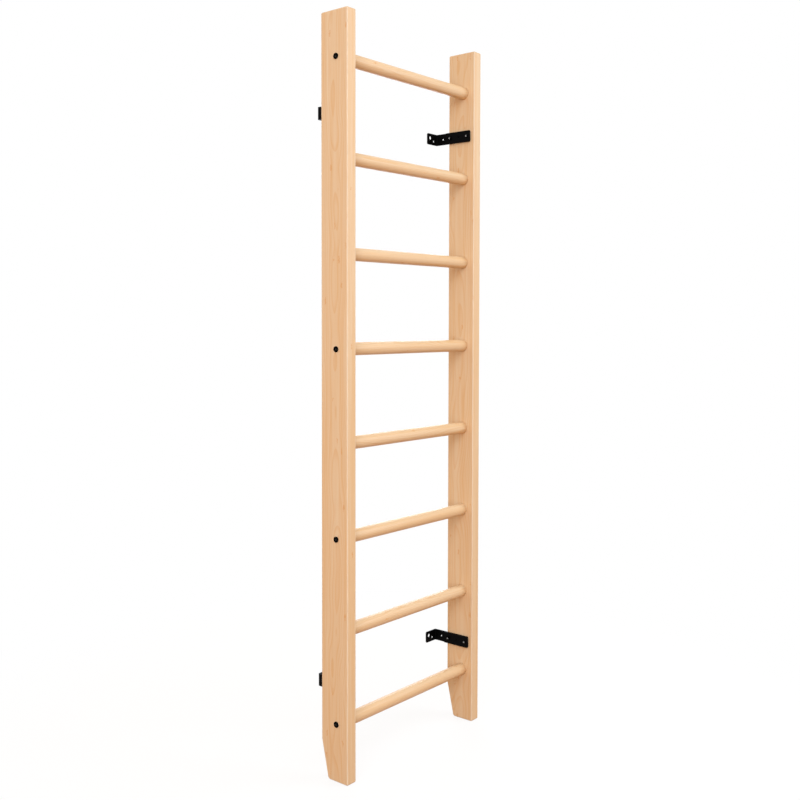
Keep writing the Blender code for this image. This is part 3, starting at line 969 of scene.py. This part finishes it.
# %% Turn the heads and shanks
KEY_DEPTH = 0.0018
KEY_CHAMFER = 0.0004
KEY_MOUTH = 0.62
KEY_CENTRE = 0.2
KEY_SINK = 0.0003
HEAD_EDGE_STEPS = 4
SEAT_EASE = 0.0002
TIP_SHARE = 0.25


def head_rings(diameter, height, key, crown):
    """Rings of a head whose seat is at x = 0, from the floor of its recess to its seat."""
    top = -height - CLEARANCE
    radius = diameter / 2
    recess = [
        (top + KEY_DEPTH + KEY_SINK, key * KEY_CENTRE, 0),
        (top + KEY_DEPTH, WIDE, key),
        (top + KEY_CHAMFER, WIDE, key),
        (top, key * KEY_MOUTH, 0),
    ]
    arc = quarter_round(crown, HEAD_EDGE_STEPS)
    edge = [(top + down, radius - inwards, 0) for down, inwards in arc]
    seat = [(-CLEARANCE - SEAT_EASE, radius, 0), (-CLEARANCE, radius - SEAT_EASE, 0)]
    return recess + edge + seat


def shank_rings(core, full, plain, length, point):
    """Rings of a shank: a full part under the head, a thinner core and a point."""
    return [
        (-CLEARANCE, full, 0),
        (plain, full, 0),
        (plain + full - core, core, 0),
        (length - point, core, 0),
        (length, core * TIP_SHARE, 0),
    ]


# %% The sizes of each kind
# The sizes of its head, those of its shank, and its thread and wear for the tree.
FASTENERS = {
    "rung_bolt": (
        dict(diameter=0.018, height=0.0032, key=0.006, crown=0.0012),
        dict(core=0.0027, full=0.0035, plain=0.022, length=0.068, point=0.0018),
        dict(Depth=0.0008, Pitch=0.0022, Start=0.024, Length=0.041, Wear=0.12),
    ),
    "front_screw": (
        dict(diameter=0.010, height=0.0032, key=0.003, crown=0.0014),
        dict(core=0.0018, full=0.0025, plain=0.009, length=0.030, point=0.005),
        dict(Depth=0.0007, Pitch=0.0018, Start=0.011, Length=0.014, Wear=1.0),
    ),
    "rear_screw": (
        dict(diameter=0.014, height=0.0044, key=0.005, crown=0.0016),
        dict(core=0.0026, full=0.0035, plain=0.009, length=0.034, point=0.005),
        dict(Depth=0.0009, Pitch=0.0024, Start=0.011, Length=0.018, Wear=1.0),
    ),
}
print("kinds", list(FASTENERS))

# %% The fastener tree
THREAD_STEPS = 24
THREAD_SIDES = 3
RUN_OUT = 8.0
LEAST_RIDGE = 0.02

FASTENER_TREE, graph, given = new_tree("fastener_on_seat", {
    "Geometry": "Geometry", "Form": "Object", "Number": "Int", "Core": "Float",
    "Depth": "Float", "Pitch": "Float", "Start": "Float", "Length": "Float",
    "Wear": "Float", "Finish": "Material",
})
index = graph.shape("InputIndex")
kept = keep_one(graph, given["Geometry"], index, given["Number"])
spiral = graph.shape(
    "CurveSpiral", Resolution=THREAD_STEPS, Rotations=given["Length"] / given["Pitch"],
    Start_Radius=given["Core"], End_Radius=given["Core"], Height=given["Length"],
)
way = graph.shape("SplineParameter").other("Factor")
run_in = way * RUN_OUT + LEAST_RIDGE
run_out = (1 - way) * RUN_OUT + LEAST_RIDGE
swell = graph.maths("MINIMUM", graph.maths("MINIMUM", run_in, run_out), 1.0)
tapered = graph.shape("SetCurveRadius", Curve=spiral, Radius=swell)
upright = graph.node("GeometryNodeSetCurveNormal", {"mode": "Z_UP"}, {"Curve": tapered})
profile = graph.shape("CurvePrimitiveCircle", Resolution=THREAD_SIDES, Radius=given["Depth"])
ridge = graph.shape("CurveToMesh", Curve=upright, Profile_Curve=profile, Fill_Caps=True)
start = graph.node("ShaderNodeCombineXYZ", values={0: given["Start"]})
laid = (0.0, math.pi / 2, 0.0)
thread = graph.shape("Transform", Geometry=ridge, Translation=start, Rotation=laid)
form = graph.shape("ObjectInfo", Object=given["Form"]).other("Geometry")
both = graph.node("GeometryNodeJoinGeometry", values={0: form})
FASTENER_TREE.links.new(thread.socket, both.socket.node.inputs[0])
position = graph.shape("InputPosition")
marked = store(graph, both, "turned_place", "FLOAT_VECTOR", position)
rubbed = store(graph, marked, "wear", "FLOAT", given["Wear"])
half_turn = graph.node(
    "GeometryNodeInputNamedAttribute", {"data_type": "FLOAT"}, {"Name": "half_turn"}
)
facing = graph.node("ShaderNodeCombineXYZ", values={1: half_turn})
seated = graph.shape("InstanceOnPoints", Points=kept, Instance=rubbed, Rotation=facing)
finish_tree(graph, seated, given["Finish"])
print("fastener tree nodes", len(FASTENER_TREE.nodes))

# %% Seats for the fasteners
BAR_LOW, BAR_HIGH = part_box("upper_right_bracket_bar")


def seat_points(seats):
    """Points with one seat each, and how far each is turned about the front-to-back axis."""
    mesh = bpy.data.meshes.new("seats")
    mesh.from_pydata([seat for _, seat, _ in seats], [], [])
    turns = mesh.attributes.new("half_turn", "FLOAT", "POINT")
    for spot, (_, _, side) in zip(turns.data, seats):
        spot.value = 0.0 if side > 0 else math.pi
    return mesh


def bolt_seats():
    """A seat on the outer face of a board for each rung bolt."""
    seats = []
    for hand, side in HANDS.items():
        for number in BOLTED_RUNGS:
            seat = (side * OUTER_X, RUNG_Y, RUNG_HEIGHTS[number - 1])
            seats.append((f"{hand}_rung_bolt_{number}", seat, -side))
    return seats


def bracket_seats(kind):
    """A seat on the bar of each bracket for one kind of screw."""
    seats = []
    for level in LEVELS:
        for hand, side in HANDS.items():
            node = f"{level}_{hand}_{kind}"
            spot = middle(node)
            seats.append((node, (side * BAR_LOW.x, spot.y, spot.z), side))
    return seats


print("bolt seats", len(bolt_seats()), "and screw seats", 2 * len(bracket_seats("rear_screw")))

# %% Seat every fastener
for kind, (head, shank, inputs) in FASTENERS.items():
    bm = bmesh.new()
    add_turned(bm, head_rings(**head) + shank_rings(**shank))
    form = add_object(kind + "_form", mesh_of(bm, kind + "_form"))
    seats = bolt_seats() if kind == "rung_bolt" else bracket_seats(kind)
    for number, (node, _, _) in enumerate(seats):
        mesh = run_tree(
            FASTENER_TREE, seat_points(seats), node + "_black",
            Form=form, Number=number, Core=shank["core"], Finish=BLACK_OXIDE, **inputs,
        )
        fit_piece(node + "_black", mesh, BLACK_OXIDE, node)
    print(kind, len(seats), "of", len(mesh.polygons), "faces")
    bpy.data.objects.remove(form, do_unlink=True)

# %% [markdown]
# ## Brackets
#
# A bracket is two plates: an angle, whose leg lies on the board and whose flange meets the
# wall, and a flat bar over the leg. Two screws go through both. Each plate starts flat in the
# workshop, so it starts flat here. The outline and its holes are drawn as one flat curve,
# which Blender fills, thickens and rounds at every edge, also inside the holes. The angle is
# then bent: the flat blank is scored across the bend, and each point is wound round the
# bend's centre.

# %% Cut plates from flat curves
STEEL = 0.004
PLATE_EDGE = 0.0005
PLATE_EDGE_STEPS = 3
FLAT_SLACK = 0.1
HOLE_STEPS = 32


def circle(x, y, radius):
    """Points of a round hole."""
    turns = [2 * math.pi * step / HOLE_STEPS for step in range(HOLE_STEPS)]
    return [(x + radius * math.cos(turn), y + radius * math.sin(turn)) for turn in turns]


def flat_plate(name, outline, holes):
    """A plate in the XY plane, its thickness along Z, with every edge rounded."""
    curve = bpy.data.curves.new(name, "CURVE")
    curve.dimensions = "2D"
    curve.fill_mode = "BOTH"
    curve.extrude = STEEL / 2 - PLATE_EDGE
    curve.bevel_depth = PLATE_EDGE
    curve.bevel_resolution = PLATE_EDGE_STEPS
    curve.offset = -PLATE_EDGE
    for points in [outline, *holes]:
        spline = curve.splines.new("POLY")
        spline.points.add(len(points) - 1)
        for point, (x, y) in zip(spline.points, points):
            point.co = (x, y, 0.0, 1.0)
        spline.use_cyclic_u = True
    bm = merged(applied(add_object(name, curve), name))
    layer = bm.verts.layers.float.new("edge")
    for vert in bm.verts:
        on_edge = abs(vert.co.z) < STEEL / 2 - PLATE_EDGE * FLAT_SLACK
        vert[layer] = 1.0 if on_edge else 0.0
    return bm


print("plates", round(STEEL * 1000, 2), "mm thick")

# %% Holes in the plates
# A hole is its place along the plate, its rise above the middle and its radius. The leg's
# holes are measured from the board's rear edge, and the flange's from its inner face.
FRONT_SCREW_Y = middle("upper_right_front_screw").y
REAR_SCREW_Y = middle("upper_right_rear_screw").y
SCREW_HOLES = (
    (FRONT_SCREW_Y, 0.0, SCREW_SHANK["front_screw"] + CLEARANCE),
    (REAR_SCREW_Y, 0.0, SCREW_SHANK["rear_screw"] + CLEARANCE),
)
SPARE_HOLE = ((FRONT_SCREW_Y + REAR_SCREW_Y) / 2, 0.0, 0.0035)
LEG_HOLES = ((0.023, 0.0, 0.003), (0.0095, 0.0075, 0.00275))
FLANGE_HOLES = ((0.040, 0.004, 0.006), (0.021, -0.006, 0.004))
print("screw holes at", [round(place, 4) for place, _, _ in SCREW_HOLES])

# %% The flat bar, for the right side, about its own height
BAR_FRONT_RADIUS = 0.004
BAR_REAR_RADIUS = 0.006

half = (BAR_HIGH.z - BAR_LOW.z) / 2
outline = rounded_outline([
    ((BAR_LOW.y, -half), BAR_FRONT_RADIUS),
    ((BAR_HIGH.y, -half), BAR_REAR_RADIUS),
    ((BAR_HIGH.y, half), BAR_REAR_RADIUS),
    ((BAR_LOW.y, half), BAR_FRONT_RADIUS),
])
bm = flat_plate("bar", outline, [circle(*hole) for hole in (*SCREW_HOLES, SPARE_HOLE)])
middle_x = BAR_HIGH.x - STEEL / 2
for vert in bm.verts:
    along, up, out = vert.co
    vert.co = (middle_x + out, along, up)
BAR_FORM = even_shading(mesh_of(bm, "bar"), "bar")
print("bar of", len(BAR_FORM.polygons), "faces")

# %% The bend of the angle
ANGLE_LOW, ANGLE_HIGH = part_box("upper_right_bracket_angle")
ANGLE_CORNER = 0.005
BEND_INSIDE = 0.002
BEND_SCORES = 10


def bend(along, up, out, leg, centre):
    """Where a point of the flat blank goes when the blank is bent round its centre."""
    radius = BEND_INSIDE + STEEL / 2
    turn = (along - leg) / radius
    if turn <= 0:
        return centre.x + radius + out, centre.y + along - leg, up
    if turn >= math.pi / 2:
        return centre.x - (along - leg - radius * math.pi / 2), centre.y + radius + out, up
    reach = radius + out
    return centre.x + reach * math.cos(turn), centre.y + reach * math.sin(turn), up


# %% The angle, for the right side, about its own height
centre = Vector((ANGLE_HIGH.x - STEEL - BEND_INSIDE, WALL_Y - STEEL - BEND_INSIDE))
leg = centre.y - ANGLE_LOW.y
bend_length = (BEND_INSIDE + STEEL / 2) * math.pi / 2
flange_start = leg + bend_length
length = flange_start + centre.x - ANGLE_LOW.x
half = (ANGLE_HIGH.z - ANGLE_LOW.z) / 2
outline = rounded_outline([
    ((0.0, -half), ANGLE_CORNER), ((length, -half), ANGLE_CORNER),
    ((length, half), ANGLE_CORNER), ((0.0, half), ANGLE_CORNER),
])
leg_holes = [(REAR_Y + back, rise, radius) for back, rise, radius in LEG_HOLES]
holes = []
for y, rise, radius in (*SCREW_HOLES, *leg_holes):
    holes.append(circle(y - ANGLE_LOW.y, rise, radius))
for reach, rise, radius in FLANGE_HOLES:
    holes.append(circle(flange_start + centre.x - (INNER_X - reach), rise, radius))
bm = flat_plate("angle", outline, holes)
for score in range(BEND_SCORES + 1):
    place = leg + bend_length * score / BEND_SCORES
    geometry = bm.verts[:] + bm.edges[:] + bm.faces[:]
    bmesh.ops.bisect_plane(
        bm, geom=geometry, dist=MERGE, plane_co=(place, 0, 0), plane_no=(1, 0, 0)
    )
for vert in bm.verts:
    vert.co = bend(*vert.co, leg, centre)
ANGLE_FORM = even_shading(mesh_of(bm, "angle"), "angle")
print("angle of", len(ANGLE_FORM.polygons), "faces")

# %% Put the brackets on, the left-hand ones turned over
for level in LEVELS:
    for hand in HANDS:
        height = middle(f"{level}_{hand}_bracket_bar").z
        turn = Matrix.Identity(4) if hand == "right" else Matrix.Rotation(math.pi, 4, "Y")
        for form, node in ((BAR_FORM, "bracket_bar"), (ANGLE_FORM, "bracket_angle")):
            mesh = form.copy()
            mesh.transform(Matrix.Translation((0, 0, height)) @ turn)
            target = f"{level}_{hand}_{node}"
            fit_piece(target + "_coated", mesh, POWDER_COAT, target)
            print(target, "fitted")
